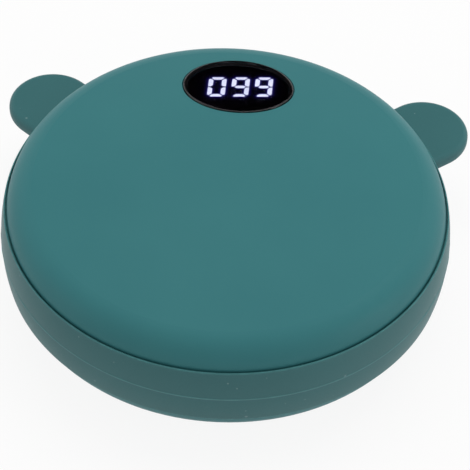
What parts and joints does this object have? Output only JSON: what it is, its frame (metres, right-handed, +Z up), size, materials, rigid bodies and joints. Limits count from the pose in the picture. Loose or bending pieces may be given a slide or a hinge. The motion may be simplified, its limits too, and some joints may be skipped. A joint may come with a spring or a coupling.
{
  "type": "rechargeable hand warmer",
  "caption": "Round domed pebble hand warmer with a silicone band, round ears, an oval digital display, rear charging ports and a power button.",
  "frame": {"origin": "centre of the flat under the lower dome that the body rests on", "axes": "+Z up out of the upper dome, +Y towards the display, the ports and the power button, +X to the right with the display at the far side; the ears lie to both sides of +Y"},
  "size_m": [0.1014, 0.095, 0.0324],
  "materials": {
    "dome_shell": "matt soft-touch coating, teal",
    "silicone": "matt moulded silicone, dark teal",
    "window_lens": "clear smoked acrylic, polished",
    "tape": "black double-sided tape",
    "reflector": "moulded, black face",
    "lit_segment": "lit cool white",
    "dark_segment": "unlit diffuser",
    "led": "phosphor",
    "circuit_board": "solder mask",
    "steel": "plain",
    "port_shell": "nickel plated",
    "flex_film": "polyimide film",
    "frame_plastic": "moulded",
    "port_white": "moulded",
    "port_black": "moulded",
    "button_plastic": "matt, teal",
    "component": "moulded package",
    "ferrite": "sintered",
    "foil": "laminated foil",
    "adhesive": "double-sided tissue tape",
    "wire": "insulated",
    "plate": "mill finish",
    "foam": "closed-cell foam"
  },
  "bodies": {
    "housing": {"upper_shell": "dome_shell", "lower_shell": "dome_shell", "silicone_band": "silicone", "display_window": "window_lens", "window_tape": "tape", "display_reflector": "reflector", "lit_segments": "lit_segment", "unlit_segments": "dark_segment", "segment_leds": "led", "display_board": "circuit_board", "display_screws": "steel", "display_ribbon": "flex_film", "inner_frame": "frame_plastic", "frame_screws": "steel", "main_board": "circuit_board", "board_screws": "steel", "usb_a_shell": "port_shell", "usb_a_tongue": "port_white", "usb_c_shell": "port_shell", "usb_c_tongue": "port_black", "switch_body": "component", "control_chip": "component", "boost_inductor": "ferrite", "storage_capacitors": "foil", "lower_cell": "foil", "upper_cell": "foil", "cell_tape": "adhesive", "protection_board": "circuit_board", "battery_leads": "wire", "upper_heat_plate": "plate", "lower_heat_plate": "plate", "upper_heater_film": "flex_film", "lower_heater_film": "flex_film", "temperature_sensors": "component", "heater_leads": "wire", "upper_foam": "foam", "lower_foam": "foam"},
    "button": {"power_button": "button_plastic"},
    "switch_plunger": {"switch_stem": "frame_plastic"}
  },
  "joints": [
    {"name": "button_press", "type": "slide", "parent": "housing", "child": "button", "axis": [-0.4547, -0.8906, 0], "range_m": [0, 0.00035], "stiffness_N_per_m": 4500},
    {"name": "plunger_press", "type": "slide", "parent": "housing", "child": "switch_plunger", "axis": [-0.4547, -0.8906, 0], "range_m": [0, 0.00035]}
  ],
  "couplings": [
    {"joint": "plunger_press", "follows": "button_press", "ratio": 1}
  ]
}
